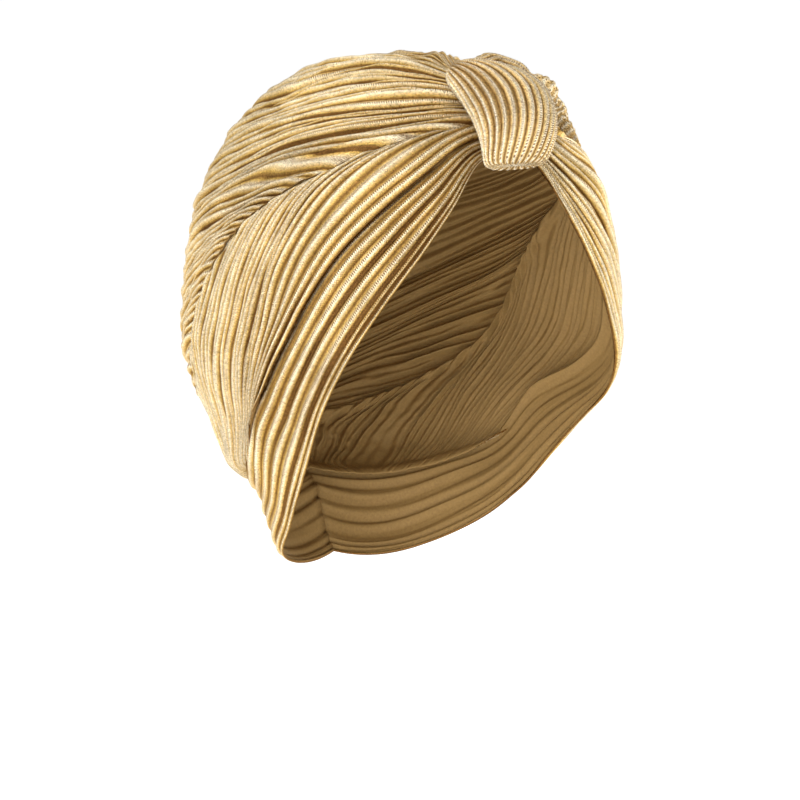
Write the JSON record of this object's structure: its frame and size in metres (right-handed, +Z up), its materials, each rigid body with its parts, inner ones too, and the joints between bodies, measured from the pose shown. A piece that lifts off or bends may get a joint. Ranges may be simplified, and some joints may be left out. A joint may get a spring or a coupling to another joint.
{
  "type": "chemo turban cap",
  "caption": "Close-fitting head wrap cap of gilded pleated knit, gathered into a knot over the forehead, open at the face and neck.",
  "frame": {"origin": "inside of the crown, where the top of the head sits", "axes": "+Z up, the face opening looks along -Y, the wearer's left is +X"},
  "size_m": [0.1698, 0.201, 0.2247],
  "materials": {
    "pleated_knit": "gold foil print on pleated stretch knit, satin metallic",
    "knot_knit": "gold foil print on pleated stretch knit, satin metallic"
  },
  "bodies": {
    "root": {"crown_wrap": "pleated_knit", "side_wrap_right": "pleated_knit", "side_wrap_left": "pleated_knit", "face_band_right": "pleated_knit", "face_band_left": "pleated_knit", "knot_band": "knot_knit", "knot_back_fold": "knot_knit"}
  },
  "joints": []
}
